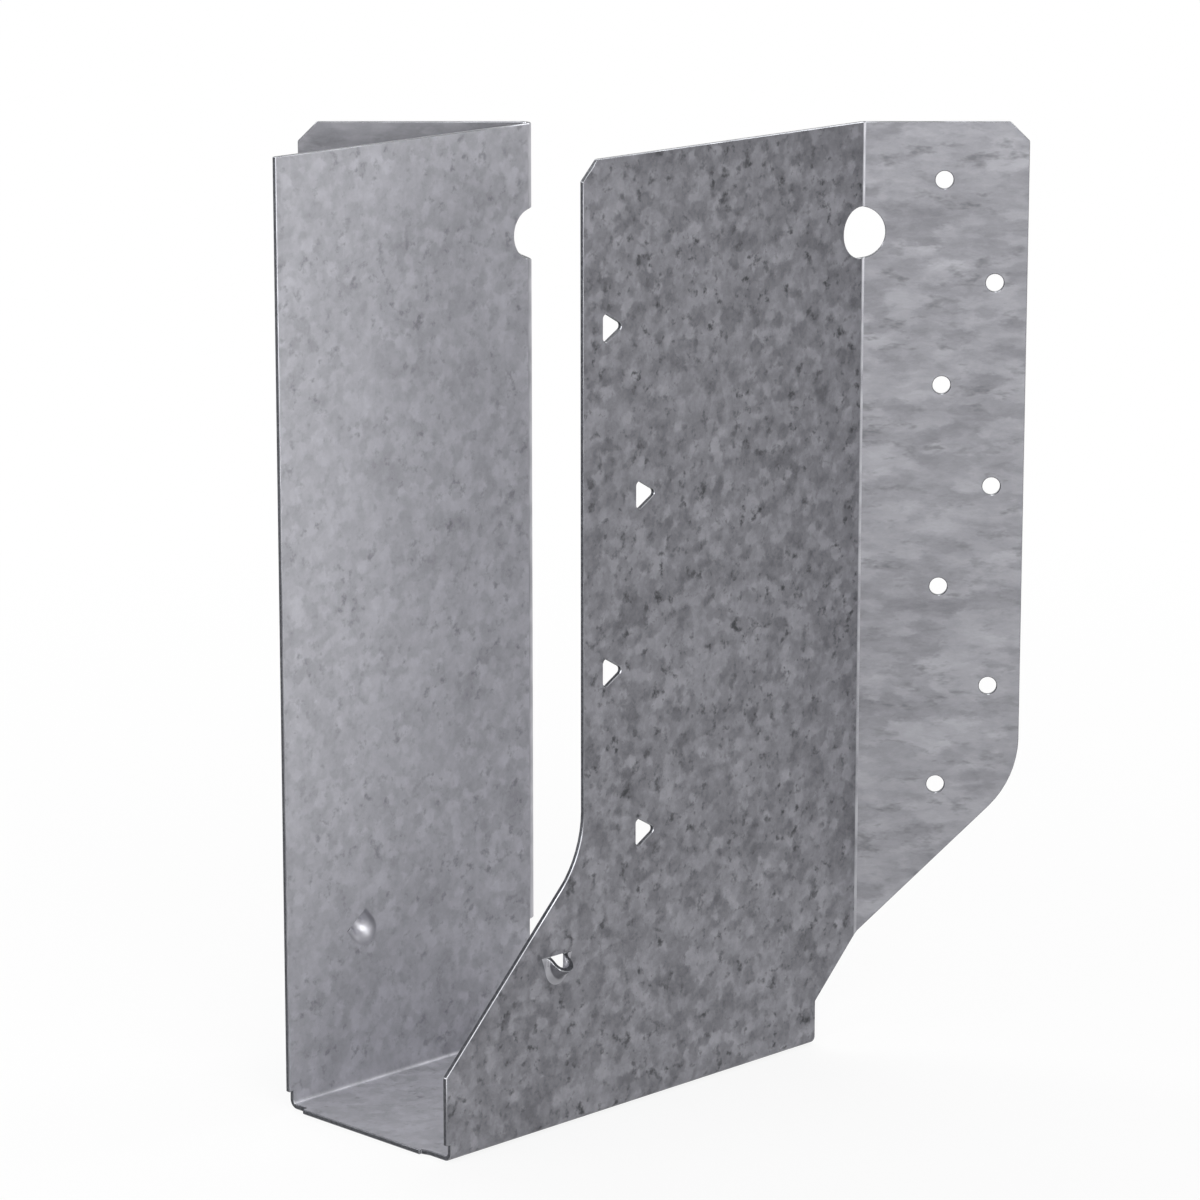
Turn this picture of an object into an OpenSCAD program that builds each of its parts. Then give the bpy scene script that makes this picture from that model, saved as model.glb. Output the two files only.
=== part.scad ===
// Skewed face-mount joist hanger, one strip of galvanised sheet steel.
// The strip is folded into a U that carries the joist, and its two ends are folded out into nailing flanges.
// +X runs along the header's face, +Y points into the header and +Z is up.
// The origin is on the header's face, where the joist's centreline meets it, level with the seat's underside.

/* [Sheet] */
// Thickness of the sheet
sheet_t = 1.2; // [0.8:0.1:1.6]
// Inside radius of the folds between the seat and the side plates
seat_bend_r = 1; // [0.4:0.1:2]
// Inside radius of the fold that opens out into the near flange
open_bend_r = 1; // [0.4:0.1:2]
// Inside radius of the fold that turns back into the far flange
sharp_bend_r = 1.5; // [0.8:0.1:2]

/* [Pocket] */
// Clear width for the joist
pocket_w = 54.2; // [42:0.2:66]
// Height from the underside of the seat to the top edges
height = 231.5; // [215:0.5:280]
// Angle that the joist turns away from square to the header
skew = 45; // [38:1:48]
// Distance of the front edge from the header's face, along the joist's centreline
reach = 114.9; // [112:0.1:140]
// Setback of the seat and lower corners from the header's face, along the joist
back_gap = 14.9; // [11:0.1:18]

/* [Near side plate] */
// Width of the near plate's upper part, from where its inner face meets the header
upper_w = 96.7; // [90:0.1:104]
// Height of the corner where the slanted edge meets the front edge
nose_h = 21; // [16:0.5:28]
// Radius that blends the upper front edge into the slanted edge
throat_r = 25.4; // [10:0.2:30]

/* [Flanges] */
// Width of the near flange, from where the near plate's inner face meets the header
near_flange_w = 40.85; // [38:0.05:50]
// Width of the far flange, from where the far plate's inner face meets the header
far_flange_w = 60.6; // [58:0.1:75]
// Height where the lower slanted edge meets the near fold
near_cut_h = 26.4; // [22:0.1:36]
// Height where the lower slanted edge meets the far fold
far_cut_h = 30.7; // [24:0.1:40]
// Radius of the flanges' lower outer corners
shoulder_r = 25.4; // [8:0.2:30]
// Size of the small bevels on the top corners
top_bevel = 4.75; // [2:0.05:6]

/* [Nail holes] */
// Diameter of a nail hole
nail_d = 4.4; // [3.5:0.1:5]
// Holes in each flange, in two staggered columns
nail_count = 7; // [3:1:7]
// Step in height from one hole to the next
nail_pitch = 25.4; // [22:0.1:26]
// Distance of the highest hole below the top edge
nail_top = 14.25; // [12:0.05:20]
// Distance of the outer column from the flange's outer edge
nail_edge = 7.95; // [7:0.05:9]
// Distance between the two columns
nail_stagger = 12.7; // [10:0.1:14]

/* [Holes across the folds] */
// Diameter of the round hole centred on each upright fold
fold_hole_d = 12.7; // [8:0.1:14]
// Distance of its centre below the top edge
fold_hole_top = 27.1; // [20:0.1:40]
// Distance of its centre from the middle of the fold, along the sheet towards the side plate
fold_hole_shift = 0.7; // [0:0.1:1]

/* [Triangular holes] */
// Length of a triangle's side
tri_side = 8; // [5:0.1:9]
// Radius of its corners
tri_corner_r = 1; // [0.5:0.1:1.5]
// Triangles in the near plate
tri_count = 4; // [1:1:4]
// Step in height from one triangle to the next
tri_pitch = 41.3; // [30:0.1:42]
// Distance of the highest triangle's centre below the top edge
tri_top = 39.8; // [36:0.1:50]
// Distance of its upright side from the upper front edge
tri_edge = 6.5; // [4:0.1:12]
// Distance that every second triangle is set further back
tri_stagger = 11.1; // [0:0.1:20]

/* [Nail domes] */
// Inside radius of a dome, wide enough for a nail
dome_r = 1.8; // [1.6:0.1:2.4]
// Radius of the blend between the dome and the plate's outer face
dome_blend = 1; // [0.4:0.1:1.4]
// Angle between the dome's ridge and the plate
dome_slope = 55; // [48:1:62]
// Angle that the mouth's rim leans back from square to the plate
dome_lean = 36; // [20:1:40]
// Distance along the plate from the slit to where the ridge would meet the plate
dome_len = 6; // [5.4:0.1:7]
// Distance of the near dome from the front edge
near_dome_front = 36.3; // [30:0.1:45]
// Height of the near dome's slit
near_dome_h = 43.1; // [32:0.1:46]
// Turn of the near dome's mouth from straight up towards the front
near_dome_turn = 0; // [0:1:45]
// Distance of the far dome from the front edge
far_dome_front = 22.5; // [16:0.1:45]
// Height of the far dome's slit
far_dome_h = 43; // [32:0.1:60]
// Turn of the far dome's mouth from straight up towards the front
far_dome_turn = 40; // [0:1:45]

/* [Notches at the seat's folds] */
// Depth of the notch cut into the front edge at each fold
notch_d = 1.3; // [0.5:0.1:3]
// Height of the notches up the side plates
notch_h = 4.3; // [3.5:0.1:8]
// Width of the near notch across the seat, from the plate's inner face
near_notch_w = 6; // [3:0.1:9]
// Run of the slanted end of the near notch
notch_run = 2.3; // [0.5:0.1:4]
// Width of the far notch across the seat, from the plate's inner face
far_notch_w = 4.7; // [3:0.1:9]

/* [Hidden] */
// A cut runs this far past the faces that it goes through
over = 1;
spare = 2 * over;
// The flats run this far into an upright fold, which is fuller than they are by seam on every side
lap = 0.01;
seam = 0.002;
// Steps in which a cut is carried round an upright fold
steps = 10;
near_fold = 90 - skew;
far_fold = 90 + skew;
// Distance along the joist from the centreline's crossing with the header to each inner face's crossing
cross_s = pocket_w / 2 * tan(skew);
near_len = reach + cross_s;
far_len = reach - cross_s;
// Outside radius of the folds between the seat and the side plates
seat_fold_r = sheet_t + seat_bend_r;
// The near flange's slanted edge drops on by the length of sheet in the fold before it meets the plate
near_drop = fold_length(open_bend_r, near_fold);
near_plate_cut = near_cut_h - near_drop;
// Height of the slanted lower edge of both plates, where it would meet the header's face
corner_line = near_plate_cut + fold_set(open_bend_r, near_fold);
// Height of both flanges' lower outer corners, before they are rounded
shoulder_z = near_cut_h + near_flange_w - fold_set(open_bend_r, near_fold);
hole_z = height - fold_hole_top;
hanger_colour = "#96979b";

// Distance from the point where two faces cross to the start of the fold between them
function fold_set(r, fold) = (r + sheet_t) * tan(fold / 2);

// Length of sheet in a fold, along the middle of its thickness
function fold_length(r, fold) = (r + sheet_t / 2) * fold * PI / 180;

// Places a side plate and its flange. In there, X runs along the joist from the point where the plate's
// inner face meets the header, Y points out of the pocket and Z is up
module near_side() {
  rotate([0, 0, 270 - skew]) translate([-cross_s, pocket_w / 2, 0]) children();
}

module far_side() {
  rotate([0, 0, 270 - skew]) translate([cross_s, -pocket_w / 2, 0]) mirror([0, 1, 0]) children();
}

// Stands a flat outline up as a sheet from Y = 0 outward
module stand() {
  translate([0, sheet_t, 0]) rotate([90, 0, 0]) linear_extrude(sheet_t) children();
}

// Sliver between the arc of radius r and the corner p that it rounds, whose edges leave at angles a1 and a2
module corner(p, a1, a2, r) {
  half = (a2 - a1) / 2;
  mid = (a1 + a2) / 2;
  aim = [cos(mid), sin(mid)];
  leg = r / tan(half);
  centre = p + r / sin(half) * aim;
  difference() {
    polygon([p - aim, p + leg * [cos(a1), sin(a1)], centre, p + leg * [cos(a2), sin(a2)]]);
    // A hair wider than r, so that the arc crosses both edges and doesn't only touch them
    translate(centre) circle(r = 1.0002 * r, $fn = 120);
  }
}

// Equilateral triangle with rounded corners, its point towards -X and its upright side at X = 0
module triangle() {
  tip = tri_side * cos(30);
  difference() {
    polygon([[-tip, 0], [0, -tri_side / 2], [0, tri_side / 2]]);
    corner([-tip, 0], -30, 30, tri_corner_r);
    corner([0, -tri_side / 2], 90, 150, tri_corner_r);
    corner([0, tri_side / 2], 210, 270, tri_corner_r);
  }
}

// The round hole across a fold, whose centre lies this far round the sheet from the outline's Y axis
module fold_hole(away) {
  translate([-away, hole_z]) circle(d = fold_hole_d, $fn = 96);
}

// Outlines of the side plates. Past the sheet's own bottom, front and top edges they run on by spare
module near_outline() {
  set = fold_set(open_bend_r, near_fold);
  slope_top = nose_h + near_len - upper_w;
  difference() {
    union() {
      polygon([
        [back_gap, -spare],
        [near_len + spare, -spare],
        [near_len + spare, nose_h - spare],
        [upper_w, slope_top],
        [upper_w, height - top_bevel],
        [upper_w - top_bevel - spare, height + spare],
        [set - lap, height + spare],
        [set - lap, corner_line - set],
        [set, corner_line - set],
        [back_gap, corner_line - back_gap]
      ]);
      corner([upper_w, slope_top], -45, 90, throat_r);
    }
    translate([set, 0]) fold_hole(fold_length(open_bend_r, near_fold) / 2 - fold_hole_shift);
    for (i = [0 : tri_count - 1])
      translate([upper_w - tri_edge - (i % 2) * tri_stagger, height - tri_top - i * tri_pitch]) triangle();
  }
}

module far_outline() {
  set = fold_set(sharp_bend_r, far_fold);
  difference() {
    polygon([
      [back_gap, -spare],
      [far_len + spare, -spare],
      [far_len + spare, height + spare],
      [set - lap, height + spare],
      [set - lap, far_cut_h],
      [set, far_cut_h],
      [set, corner_line - set],
      [back_gap, corner_line - back_gap]
    ]);
    translate([set, 0]) fold_hole(fold_length(sharp_bend_r, far_fold) / 2 - fold_hole_shift);
  }
}

// Flat flange, X outward from its fold. Its lower edge runs level at the height low, as far as it has to,
// and then rises at 45 degrees to the lower outer corner
module flange_outline(width, low, fold_len) {
  level = width - shoulder_z + low;
  difference() {
    polygon(concat(
      [[-lap, height], [-lap, low], [0, low]],
      level > over ? [[level, low]] : [],
      [[width, shoulder_z], [width, height - top_bevel], [width - top_bevel, height]]
    ));
    corner([width, shoulder_z], 90, 225, shoulder_r);
    for (i = [0 : nail_count - 1])
      translate([width - nail_edge - (1 - i % 2) * nail_stagger, height - nail_top - i * nail_pitch])
        circle(d = nail_d, $fn = 48);
    fold_hole(fold_len / 2 + fold_hole_shift);
  }
}

// Cutter that follows a fold round its axis. At the i-th of its steps it reaches from bottoms[i] to tops[i]
module fold_cutter(r, fold, bottoms, tops) {
  inner = r / 2;
  outer = r + 2 * sheet_t;
  ring = [for (i = [0 : steps]) let (a = i * fold / steps) [cos(a), sin(a)]];
  points = [
    for (i = [0 : steps])
      each [
        [inner * ring[i].x, inner * ring[i].y, bottoms[i]],
        [outer * ring[i].x, outer * ring[i].y, bottoms[i]],
        [outer * ring[i].x, outer * ring[i].y, tops[i]],
        [inner * ring[i].x, inner * ring[i].y, tops[i]]
      ]
  ];
  walls = [
    for (i = [0 : steps - 1], j = [0 : 3])
      let (a = 4 * i + j, b = 4 * i + (j + 1) % 4)
        each [[a, b, a + 4], [b, b + 4, a + 4]]
  ];
  last = 4 * steps;
  polyhedron(points, concat(walls, [[3, 2, 1, 0], [last, last + 1, last + 2, last + 3]]));
}

// Upright fold round the Z axis, from where it leaves the flange to where it meets the plate.
// Its lower edge runs from flange_low to plate_low, and it is cut by its share of the round hole
module upright_fold(r, fold, flange_low, plate_low) {
  run = fold_length(r, fold);
  reach_up = [
    for (i = [0 : steps])
      let (off = run * (i / steps - 0.5) - fold_hole_shift)
        sqrt(pow(fold_hole_d / 2, 2) - pow(off, 2)) - seam
  ];
  difference() {
    rotate_extrude(angle = fold, $fn = 96)
      translate([r - seam, 0]) square([sheet_t + 2 * seam, height + seam]);
    fold_cutter(r, fold, [for (i = [0 : steps]) -over],
      [for (i = [0 : steps]) flange_low + (plate_low - flange_low) * i / steps - seam]);
    fold_cutter(r, fold, [for (h = reach_up) hole_z - h], [for (h = reach_up) hole_z + h]);
  }
}

// Flange and upright fold, in the frame of the side plate that they belong to
module fold_and_flange(r, fold, width, flange_low, plate_low) {
  set = fold_set(r, fold);
  translate([set, r + sheet_t, 0]) {
    rotate([0, 0, 270 - fold]) upright_fold(r, fold, flange_low, plate_low);
    rotate([0, 0, -fold]) translate([0, -r - sheet_t, 0]) mirror([1, 0, 0])
      stand() flange_outline(width - set, flange_low, fold_length(r, fold));
  }
}

// Section across the joist through the seat, its two folds and the side plates
module channel_section() {
  out = pocket_w / 2 + sheet_t;
  difference() {
    translate([-out, 0]) square([2 * out, height]);
    difference() {
      translate([-pocket_w / 2, sheet_t]) square([pocket_w, height]);
      corner([-pocket_w / 2, sheet_t], 0, 90, seat_bend_r);
      corner([pocket_w / 2, sheet_t], 90, 180, seat_bend_r);
    }
    corner([-out, 0], 0, 90, seat_fold_r);
    corner([out, 0], 90, 180, seat_fold_r);
  }
}

// All of a side plate of this length, and of its fold to the seat, that lies outside the outline
module trimmings(length) {
  translate([0, sheet_t + over, 0]) rotate([90, 0, 0]) linear_extrude(sheet_t + seat_bend_r + over)
    difference() {
      translate([-2 * cross_s - over, -over]) square([length + 2 * cross_s + 2 * over, height + 2 * over]);
      children();
    }
}

// Seat and side plates in one, with the seat's back edge cut along the header
module channel() {
  side = pocket_w / 2 - seat_bend_r;
  difference() {
    rotate([0, 0, 270 - skew]) difference() {
      translate([-cross_s, 0, 0]) rotate([90, 0, 90]) linear_extrude(reach + cross_s) channel_section();
      translate([0, 0, -over]) linear_extrude(sheet_t + 2 * over)
        polygon([
          [-cross_s - over, side + lap],
          [back_gap - cross_s, side + lap],
          [back_gap - cross_s, side],
          [back_gap + cross_s, -side],
          [back_gap + cross_s, -side - lap],
          [-cross_s - over, -side - lap]
        ]);
    }
    near_side() trimmings(near_len) near_outline();
    far_side() trimmings(far_len) far_outline();
  }
}

// Notch in the front edge, over the fold between the seat and a side plate
module notch(end, w, run) {
  translate([end, 0, -over]) linear_extrude(notch_h + over)
    polygon([
      [over, sheet_t + over],
      [-notch_d, sheet_t + over],
      [-notch_d, -w],
      [-notch_d / 2, -w - run],
      [over, -w - run]
    ]);
}

// Places a dome with X along its slit, Y out of the sheet and Z up the plate towards its mouth
module at_dome(s, h, turn) {
  translate([s, sheet_t, h]) rotate([0, turn, 0]) children();
}

// Bar whose section is a half circle of radius r with straight walls behind it, lying against the sheet.
// Its ridge rises at dome_slope, and it blends into the face at Y = base with the radius blend
module dome_form(r, start, base, blend) {
  // Height of the half circle's centre at Y = 0, where the ridge of the outer form is at -dome_len
  axis_z = (dome_r + sheet_t) / sin(dome_slope) - dome_len;
  end = dome_len * tan(dome_slope);
  levels = concat(
    [[start, blend]],
    [for (a = [0 : 18 : 90]) [base + blend * (1 - cos(a)), blend * (1 - sin(a))]],
    [[end, 0]]
  );
  points = [
    for (level = levels)
      let (y = level[0], w = r + level[1], z = axis_z + y / tan(dome_slope), top = end + over)
        each concat(
          [[w, y, top]],
          [for (a = [0 : 9 : 180]) [w * cos(a), y, z - w / sin(dome_slope) * sin(a)]],
          [[-w, y, top]]
        )
  ];
  n = 23;
  walls = [
    for (i = [0 : len(levels) - 2], j = [0 : n - 1])
      let (a = n * i + j, b = n * i + (j + 1) % n)
        each [[a, a + n, b], [b, a + n, b + n]]
  ];
  last = n * (len(levels) - 1);
  polyhedron(points, concat(walls, [[for (j = [0 : n - 1]) j], [for (j = [n - 1 : -1 : 0]) last + j]]));
}

// Metal of a dome, outside the sheet's inner face and behind the mouth's leaning rim
module dome_shell() {
  wide = 4 * (dome_r + sheet_t);
  intersection() {
    dome_form(dome_r + sheet_t, -sheet_t / 2, 0, dome_blend);
    rotate([90, 0, 90]) linear_extrude(wide, center = true)
      polygon([
        [-sheet_t, 0],
        [0, 0],
        [wide * cos(dome_lean), -wide * sin(dome_lean)],
        [wide, -2 * wide],
        [-sheet_t, -2 * wide]
      ]);
  }
}

// Space inside a dome, as far up as its slit
module dome_hollow() {
  wide = 4 * (dome_r + sheet_t);
  intersection() {
    dome_form(dome_r, -sheet_t - over, -sheet_t, dome_blend + sheet_t);
    translate([-wide / 2, -2 * sheet_t, -2 * wide]) cube([wide, 2 * wide, 2 * wide]);
  }
}

module hanger() color(hanger_colour) {
  difference() {
    union() {
      channel();
      near_side() {
        fold_and_flange(open_bend_r, near_fold, near_flange_w, near_cut_h, near_plate_cut);
        at_dome(near_len - near_dome_front, near_dome_h, near_dome_turn) dome_shell();
      }
      far_side() {
        fold_and_flange(sharp_bend_r, far_fold, far_flange_w, far_cut_h, far_cut_h);
        at_dome(far_len - far_dome_front, far_dome_h, far_dome_turn) dome_shell();
      }
    }
    near_side() {
      notch(near_len, near_notch_w, notch_run);
      at_dome(near_len - near_dome_front, near_dome_h, near_dome_turn) dome_hollow();
    }
    far_side() {
      notch(far_len, far_notch_w, 0);
      at_dome(far_len - far_dome_front, far_dome_h, far_dome_turn) dome_hollow();
    }
  }
}

hanger();
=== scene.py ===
import math

import bmesh
import bpy
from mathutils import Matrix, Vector


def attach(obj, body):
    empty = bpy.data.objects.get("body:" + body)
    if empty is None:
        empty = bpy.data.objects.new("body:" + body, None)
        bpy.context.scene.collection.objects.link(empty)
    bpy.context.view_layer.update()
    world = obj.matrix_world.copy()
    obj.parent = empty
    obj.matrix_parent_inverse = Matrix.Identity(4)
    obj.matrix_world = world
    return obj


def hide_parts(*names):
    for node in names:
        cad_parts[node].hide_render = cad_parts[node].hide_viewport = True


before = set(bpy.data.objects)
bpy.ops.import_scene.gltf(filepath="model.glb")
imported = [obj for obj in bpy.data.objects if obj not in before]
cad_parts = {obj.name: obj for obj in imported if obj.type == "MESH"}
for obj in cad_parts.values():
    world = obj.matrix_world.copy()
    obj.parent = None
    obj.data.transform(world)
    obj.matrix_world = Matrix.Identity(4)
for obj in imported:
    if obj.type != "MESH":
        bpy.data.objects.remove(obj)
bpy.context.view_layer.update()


# ---- Folded hanger ----
# The hanger is one blank of 1.2 mm sheet steel, hot-dip galvanised, punched flat and then folded into a
# seat, two side plates and two nailing flanges. The punch leaves every cut edge slightly rounded, and
# each rounding catches the light.

# The materials of the sheet's faces, some with painted light and shade in their greys, in the order of its
# material slots
INNER_SIDE, OUTER_SIDE, FLANGE_FRONT, INNER_BEND, OUTER_BEND, CUT_EDGE, ROLLED_EDGE = range(7)
# The ways that the flat faces look: the side plates, the flanges and the seat, from both sides
FLAT_WAYS = [Vector((0.5 ** 0.5, -0.5 ** 0.5, 0)), Vector((0, -1, 0)), Vector((0, 0, 1))]


def smooth_patches(form, sharpest):
    """The faces in groups that join across edges flatter than the angle sharpest, largest group first."""
    left, patches = set(form.faces), []
    while left:
        patch, front = set(), [left.pop()]
        while front:
            face = front.pop()
            patch.add(face)
            for edge in face.edges:
                for other in edge.link_faces:
                    if other in left and face.normal.angle(other.normal) < sharpest:
                        left.discard(other)
                        front.append(other)
        patches.append(patch)
    return sorted(patches, key=lambda patch: -sum(face.calc_area() for face in patch))


def folded_sheet(name, node):
    """A merged copy of the CAD node's mesh, with the finish of each face set by its side and its bend."""
    # The folds stand 0.002 mm proud of the flats, and merging over a little more closes that step
    step, sliver, level = 0.000012, 0.000008, math.radians(0.6)
    # Sides meet cut faces at more than cut_turn, and a face turned bend_turn off every flat is bent
    cut_turn, bend_turn = math.radians(40), math.radians(0.7)
    # The seat's top lies below seat_top. The seat's own folds end below fold_top and keep their side's zinc
    seat_top, fold_top = 0.002, 0.003

    sheet = bpy.data.objects.new(name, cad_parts[node].data.copy())
    bpy.context.scene.collection.objects.link(sheet)
    sheet.data.materials.clear()
    form = bmesh.new()
    form.from_mesh(sheet.data)
    bmesh.ops.remove_doubles(form, verts=form.verts, dist=step)
    bmesh.ops.dissolve_degenerate(form, edges=form.edges, dist=sliver)
    bmesh.ops.dissolve_limit(form, angle_limit=level, verts=form.verts, edges=form.edges)
    form.normal_update()

    # The two sides of the sheet are the two largest smooth patches, and the rest is where it was cut
    patches = smooth_patches(form, cut_turn)
    for face in form.faces:
        face.material_index = CUT_EDGE
    for patch in patches[:2]:
        inside = any(face.normal.z > 0.99 and face.calc_center_median().z < seat_top for face in patch)
        for face in patch:
            bent = max(abs(face.normal.dot(way)) for way in FLAT_WAYS) < math.cos(bend_turn)
            if bent and face.calc_center_median().z > fold_top:
                face.material_index = INNER_BEND if inside else OUTER_BEND
            elif inside:
                face.material_index = INNER_SIDE
            else:
                face.material_index = FLANGE_FRONT if face.normal.y < -0.99 else OUTER_SIDE
    form.to_mesh(sheet.data)
    form.free()
    bpy.ops.object.select_all(action="DESELECT")
    sheet.select_set(True)
    bpy.context.view_layer.objects.active = sheet
    return sheet


def round_cut_edges(sheet, width):
    """Rounds the punched edges, and shades only the folds and the roundings as curved."""
    rounding = sheet.modifiers.new("punched_edges", "BEVEL")
    rounding.width = width
    rounding.segments = 1
    rounding.limit_method = "ANGLE"
    rounding.angle_limit = math.radians(40)
    rounding.use_clamp_overlap = False
    rounding.material = ROLLED_EDGE
    bpy.ops.object.modifier_apply(modifier=rounding.name)
    bpy.ops.object.shade_smooth_by_angle(angle=math.radians(35))
    flats = sheet.modifiers.new("flat_faces", "WEIGHTED_NORMAL")
    flats.weight = 100
    flats.keep_sharp = True
    bpy.ops.object.modifier_apply(modifier=flats.name)


def linear(hex_colour):
    """The linear colour of an sRGB hex value."""
    channels = [int(hex_colour[i:i + 2], 16) / 255 for i in (1, 3, 5)]
    return [c / 12.92 if c <= 0.04045 else ((c + 0.055) / 1.055) ** 2.4 for c in channels] + [1.0]


def emptied(material):
    """The new material or world, ready for its own nodes."""
    material.use_nodes = True
    material.node_tree.nodes.clear()
    return material


def add(material, kind, settings=None, values=None, links=None):
    """A new node, with its settings, the values of its sockets and the outputs that feed them."""
    node = material.node_tree.nodes.new(kind)
    for key, value in (settings or {}).items():
        setattr(node, key, value)
    for socket, value in (values or {}).items():
        node.inputs[socket].default_value = value
    for socket, source in (links or {}).items():
        material.node_tree.links.new(source, node.inputs[socket])
    return node


def galvanised_zinc(name, dark, light, speck, specked, drawn_out):
    # Hot-dip galvanising: the zinc froze on the steel as flat crystals about 3 mm across, each a slightly
    # different grey and gloss. Duller clouds and dark specks lie over them where the coat is thin.
    zinc = emptied(bpy.data.materials.new(name))
    # Where the zinc ran sideways as it froze, the crystals are drawn out along the header
    drawn = add(zinc, "ShaderNodeMapping", values={"Scale": (1 / drawn_out, 1, 1)},
                links={"Vector": add(zinc, "ShaderNodeTexCoord").outputs["Object"]})
    place = drawn.outputs[0]
    # Ragged crystal outlines: the position is pushed about by half a millimetre or so
    reach = 0.003
    push = add(zinc, "ShaderNodeTexNoise", values={"Scale": 520, "Detail": 3, "Roughness": 0.65},
               links={"Vector": place})
    centred = add(zinc, "ShaderNodeVectorMath", {"operation": "SUBTRACT"}, {1: (0.5, 0.5, 0.5)},
                  {0: push.outputs["Color"]})
    ragged = add(zinc, "ShaderNodeVectorMath", {"operation": "MULTIPLY_ADD"}, {1: (reach, reach, reach)},
                 {0: centred.outputs[0], 2: place})
    # Crystals 3 mm across, soft clouds 12 mm across and a finer grain 2 mm across
    crystals = add(zinc, "ShaderNodeTexVoronoi", {"feature": "SMOOTH_F1"},
                   {"Scale": 330, "Smoothness": 0.7}, {"Vector": ragged.outputs[0]})
    crystal_tone = add(zinc, "ShaderNodeSeparateColor", links={"Color": crystals.outputs["Color"]})
    clouds = add(zinc, "ShaderNodeTexNoise", values={"Scale": 85, "Detail": 5, "Roughness": 0.62},
                 links={"Vector": place})
    grain = add(zinc, "ShaderNodeTexNoise", values={"Scale": 480, "Detail": 4, "Roughness": 0.65},
                links={"Vector": ragged.outputs[0]})
    crystal_share, cloud_share, grain_share = 0.26, 0.36, 0.38
    tone = add(zinc, "ShaderNodeMath", {"operation": "MULTIPLY"}, {1: crystal_share},
               {0: crystal_tone.outputs[0]})
    clouded = add(zinc, "ShaderNodeMath", {"operation": "MULTIPLY_ADD"}, {1: cloud_share},
                  {0: clouds.outputs["Fac"], 2: tone.outputs[0]})
    mottle = add(zinc, "ShaderNodeMath", {"operation": "MULTIPLY_ADD"}, {1: grain_share},
                 {0: grain.outputs["Fac"], 2: clouded.outputs[0]})
    greys = add(zinc, "ShaderNodeValToRGB", links={"Fac": mottle.outputs[0]})
    for stop, position, grey in zip(greys.color_ramp.elements, (0.30, 0.72), (dark, light)):
        stop.position, stop.color = position, linear(grey)
    # Dark specks about 1 mm across, in drifts 8 mm across
    specks = add(zinc, "ShaderNodeTexNoise", values={"Scale": 380, "Detail": 3, "Roughness": 0.6},
                 links={"Vector": place})
    few = add(zinc, "ShaderNodeMapRange", values={"From Min": 0.56, "From Max": 0.70, "To Max": specked},
              links={"Value": specks.outputs["Fac"]})
    drifts = add(zinc, "ShaderNodeTexNoise", values={"Scale": 120, "Detail": 2}, links={"Vector": place})
    there = add(zinc, "ShaderNodeMapRange", values={"From Min": 0.40, "From Max": 0.60, "To Min": 0.4},
                links={"Value": drifts.outputs["Fac"]})
    dotted = add(zinc, "ShaderNodeMath", {"operation": "MULTIPLY"},
                 links={0: few.outputs[0], 1: there.outputs[0]})
    # Of a colour Mix, 0 is the share of the second colour, and 6 and 7 are the two colours
    colour = add(zinc, "ShaderNodeMix", {"data_type": "RGBA"}, {7: linear(speck)},
                 {0: dotted.outputs[0], 6: greys.outputs[0]})
    # The paler the zinc, the smoother, and its relief is a few hundredths of a millimetre
    gloss = add(zinc, "ShaderNodeMapRange",
                values={"From Min": 0.3, "From Max": 0.7, "To Min": 0.56, "To Max": 0.44},
                links={"Value": mottle.outputs[0]})
    relief = add(zinc, "ShaderNodeBump", values={"Strength": 0.12, "Distance": 0.00004},
                 links={"Height": mottle.outputs[0]})
    shader = add(zinc, "ShaderNodeBsdfPrincipled", values={"Metallic": 0.6}, links={
        "Base Color": colour.outputs[2], "Roughness": gloss.outputs[0], "Normal": relief.outputs[0]})
    add(zinc, "ShaderNodeOutputMaterial", links={"Surface": shader.outputs["BSDF"]})
    return zinc


def sheared_steel(name, dark, light):
    # The shear leaves a band of bare steel along each cut, darker than the zinc and finely torn. Its greys
    # are darker than bare steel: painted shade on the cut faces. The tearing is drawn 0.6 mm across,
    # coarser than it is, so that it shows.
    steel = emptied(bpy.data.materials.new(name))
    place = add(steel, "ShaderNodeTexCoord").outputs["Object"]
    tear = add(steel, "ShaderNodeTexNoise", values={"Scale": 1600, "Detail": 3}, links={"Vector": place})
    tone = add(steel, "ShaderNodeValToRGB", links={"Fac": tear.outputs["Fac"]})
    for stop, position, grey in zip(tone.color_ramp.elements, (0.35, 0.70), (dark, light)):
        stop.position, stop.color = position, linear(grey)
    relief = add(steel, "ShaderNodeBump", values={"Strength": 0.3, "Distance": 0.00003},
                 links={"Height": tear.outputs["Fac"]})
    shader = add(steel, "ShaderNodeBsdfPrincipled", values={"Metallic": 0.7, "Roughness": 0.5},
                 links={"Base Color": tone.outputs["Color"], "Normal": relief.outputs[0]})
    add(steel, "ShaderNodeOutputMaterial", links={"Surface": shader.outputs["BSDF"]})
    return steel


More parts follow.
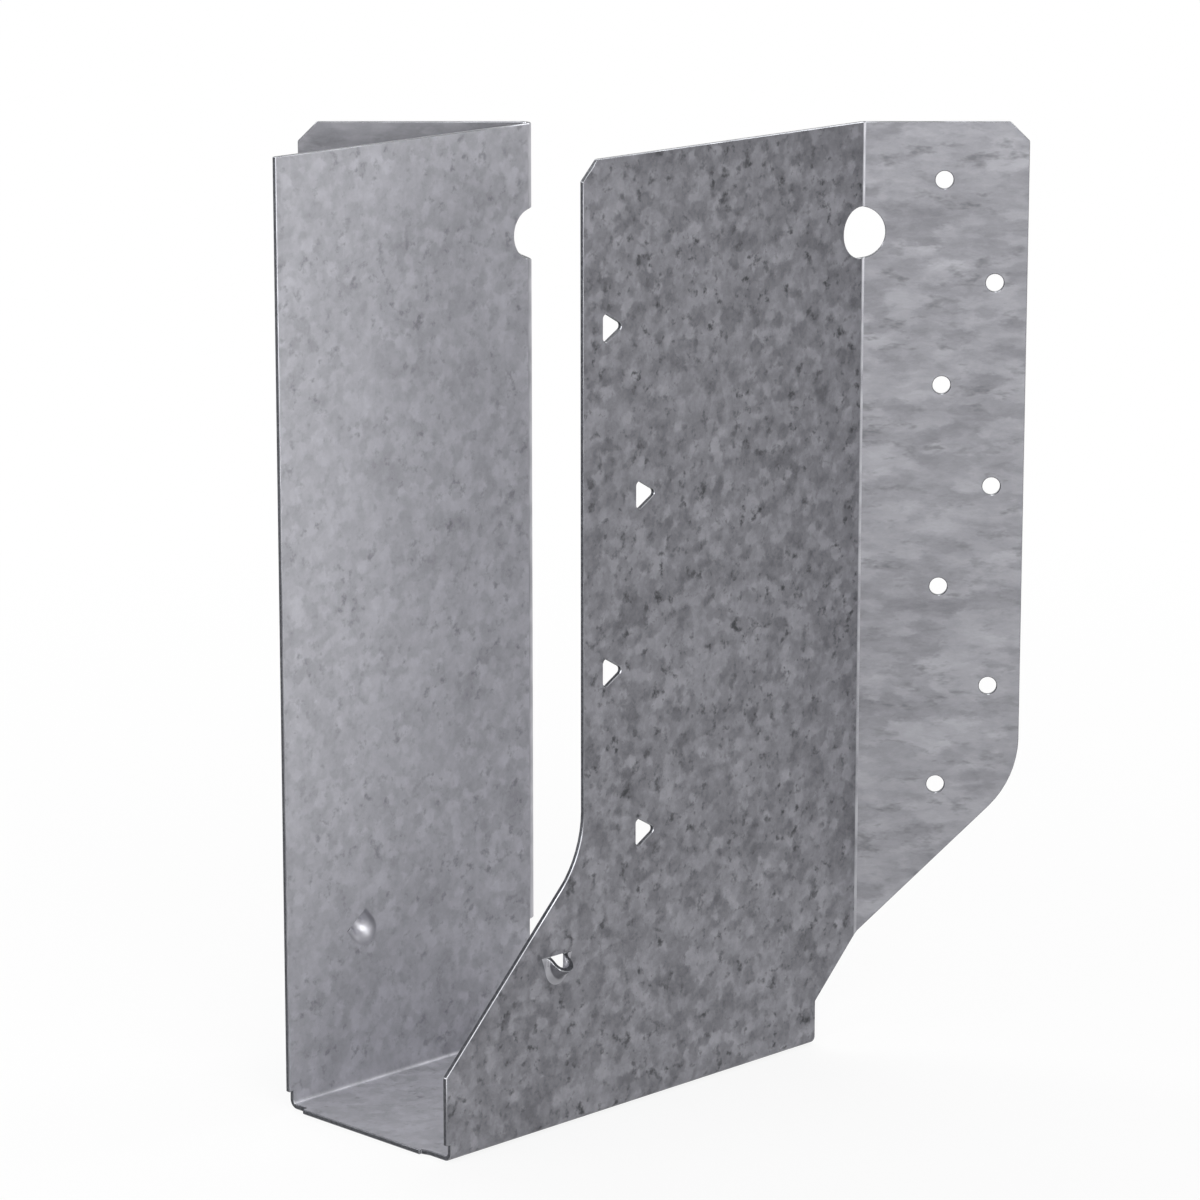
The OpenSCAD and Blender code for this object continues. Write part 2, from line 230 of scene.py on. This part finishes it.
def smooth_zinc(name, dark, light, roughness):
    # Smooth, fully metallic zinc that shows as a thin bright line. On the cut edges the punch has dragged
    # the zinc smooth. On the folds and the nail domes the grey carries painted light, and on their outside
    # a painted highlight. The grey is uneven over 7 mm or so.
    smooth_metal = emptied(bpy.data.materials.new(name))
    place = add(smooth_metal, "ShaderNodeTexCoord").outputs["Object"]
    drag = add(smooth_metal, "ShaderNodeTexNoise", values={"Scale": 150, "Detail": 2}, links={"Vector": place})
    tone = add(smooth_metal, "ShaderNodeValToRGB", links={"Fac": drag.outputs["Fac"]})
    for stop, position, grey in zip(tone.color_ramp.elements, (0.35, 0.65), (dark, light)):
        stop.position, stop.color = position, linear(grey)
    shader = add(smooth_metal, "ShaderNodeBsdfPrincipled", values={"Metallic": 1.0, "Roughness": roughness},
                 links={"Base Color": tone.outputs["Color"]})
    add(smooth_metal, "ShaderNodeOutputMaterial", links={"Surface": shader.outputs["BSDF"]})
    return smooth_metal


hanger = folded_sheet("folded_hanger", "hanger")
finishes = [
    # The inside of the pocket has paler zinc than the outside: painted light inside and painted shade
    # outside. The far plate's inside looks much brighter than the near plate's outside, which faces the
    # same way
    galvanised_zinc("inner_zinc_painted_light", "#a0a0a5", "#c6c6cc", "#505155", specked=0.45, drawn_out=1),
    # Darker zinc for the outside of the pocket: painted shade
    galvanised_zinc("outer_zinc_painted_shade", "#5d5d62", "#94949a", "#2b2c2f", specked=0.85, drawn_out=1),
    # The flange fronts: zinc paler than the outside of the side plates, painted light on the flanges, with
    # its crystals drawn out along the header
    galvanised_zinc("flange_zinc_painted_light", "#717176", "#9a9a9f", "#46474a", specked=0.5, drawn_out=2.5),
    # The folds and the nail domes get smooth, fully metallic zinc. Inside it is in the greys of the inner
    # side's painted light. Outside it is paler than the outer zinc, a painted highlight along each fold and
    # dome. The punch drags zinc over each edge
    smooth_zinc("inner_bend_zinc_painted_light", "#a2a2a7", "#bcbcc1", roughness=0.46),
    smooth_zinc("outer_bend_zinc_painted_highlight", "#8a8a8f", "#a6a6ab", roughness=0.3),
    # Bare steel on the cut faces, drawn very dark: painted shade
    sheared_steel("sheared_steel_edge_painted_shade", "#303135", "#525358"),
    smooth_zinc("burnished_zinc_edge", "#7b7c80", "#96979b", roughness=0.22),
]
for finish in finishes:
    hanger.data.materials.append(finish)
# The punch rounds each edge by about a sixth of a millimetre
round_cut_edges(hanger, 0.00017)
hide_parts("hanger")
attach(hanger, "root")


# ---- Studio ----
# The hanger stands on a white paper floor. Large soft lamps light it, and the camera looks along +Y from
# in front and a little above.
def seen_rays(material):
    """1 for the rays that see the background: straight, in a reflection or through something clear."""
    rays = add(material, "ShaderNodeLightPath")
    reflected = add(material, "ShaderNodeMath", {"operation": "MAXIMUM"},
                    links={0: rays.outputs["Is Camera Ray"], 1: rays.outputs["Is Glossy Ray"]})
    either = add(material, "ShaderNodeMath", {"operation": "MAXIMUM"},
                 links={0: reflected.outputs[0], 1: rays.outputs["Is Transmission Ray"]})
    return either.outputs[0]


# The floor lies a hair below the seat, so that the two don't touch
bpy.ops.mesh.primitive_plane_add(size=8, location=(0, 0, -0.0002))
floor = bpy.context.active_object
floor.name = "paper_floor"
# Matt white paper. Near the hanger an eighth of the paper's own light stays in view, and with it the
# hanger's faint shadow. Further off it is plain white.
paper = emptied(bpy.data.materials.new("white_paper"))
matt = add(paper, "ShaderNodeBsdfPrincipled", values={"Base Color": linear("#f2f2f2"), "Roughness": 0.9})
white = add(paper, "ShaderNodeEmission", values={"Color": (1, 1, 1, 1), "Strength": 1})
spot = add(paper, "ShaderNodeTexCoord").outputs["Object"]
away = add(paper, "ShaderNodeVectorMath", {"operation": "LENGTH"}, links={0: spot})
wash = add(paper, "ShaderNodeMapRange",
           values={"From Min": 0.15, "From Max": 0.6, "To Min": 0.87, "To Max": 1.0},
           links={"Value": away.outputs["Value"]})
washed = add(paper, "ShaderNodeMixShader",
             links={0: wash.outputs[0], 1: matt.outputs[0], 2: white.outputs[0]})
shown = add(paper, "ShaderNodeMixShader",
            links={0: seen_rays(paper), 1: matt.outputs[0], 2: washed.outputs[0]})
add(paper, "ShaderNodeOutputMaterial", links={"Surface": shown.outputs[0]})
floor.data.materials.append(paper)

# The walls are white where they are seen, and give the hanger next to no light
studio = emptied(bpy.data.worlds.new("studio"))
bpy.context.scene.world = studio
walls = add(studio, "ShaderNodeBackground", values={"Color": (1, 1, 1, 1), "Strength": 0.02})
backdrop = add(studio, "ShaderNodeBackground", values={"Color": (1, 1, 1, 1), "Strength": 1})
both = add(studio, "ShaderNodeMixShader",
           links={0: seen_rays(studio), 1: walls.outputs[0], 2: backdrop.outputs[0]})
add(studio, "ShaderNodeOutputWorld", links={"Surface": both.outputs[0]})


def lamp(name, place, power, side):
    """A square lamp, side metres wide, that faces the middle of the hanger."""
    middle = Vector((-0.02, -0.03, 0.11))
    light = bpy.data.objects.new(name, bpy.data.lights.new(name, "AREA"))
    bpy.context.scene.collection.objects.link(light)
    light.data.size = side
    light.data.energy = power
    light.location = place
    light.rotation_euler = (middle - Vector(place)).to_track_quat("-Z", "Y").to_euler()


# Five lamps in front and one at the left for the faces, one above for the top edges, and three behind
# for the seat, the folds and the backs of the flanges
lamp("front_lamp", (0.05, -1.5, 0.5), 6, 0.8)
lamp("high_front_lamp", (0.1, -1.4, 0.9), 3, 0.8)
lamp("front_left_lamp", (-0.7, -0.9, 1.1), 5, 0.8)
lamp("front_right_lamp", (0.34, -0.86, 1.05), 2.2, 0.4)
lamp("low_right_lamp", (0.9, -1.0, 0.2), 5.2, 0.8)
lamp("left_lamp", (-1.2, -0.35, 0.35), 6, 0.8)
lamp("top_lamp", (0, -0.3, 1.4), 1.6, 0.4)
lamp("back_left_lamp", (-0.7, 0.8, 1.1), 6, 0.6)
lamp("back_right_lamp", (0.63, 0.6, 1.05), 2.8, 0.4)
lamp("back_lamp", (0.1, 1.0, 1.1), 5, 0.8)

# A long lens 1.2 m in front of the hanger, tipped 13 degrees down
camera = bpy.data.objects.new("camera", bpy.data.cameras.new("camera"))
bpy.context.scene.collection.objects.link(camera)
camera.location = (-0.02542, -1.21064, 0.39492)
camera.rotation_euler = (math.radians(90 - 13.158), 0, 0)
camera.data.sensor_width = 36
camera.data.lens = 150.057
camera.data.clip_start = 0.05
camera.data.clip_end = 20
bpy.context.scene.camera = camera
bpy.context.scene.view_settings.view_transform = "Standard"
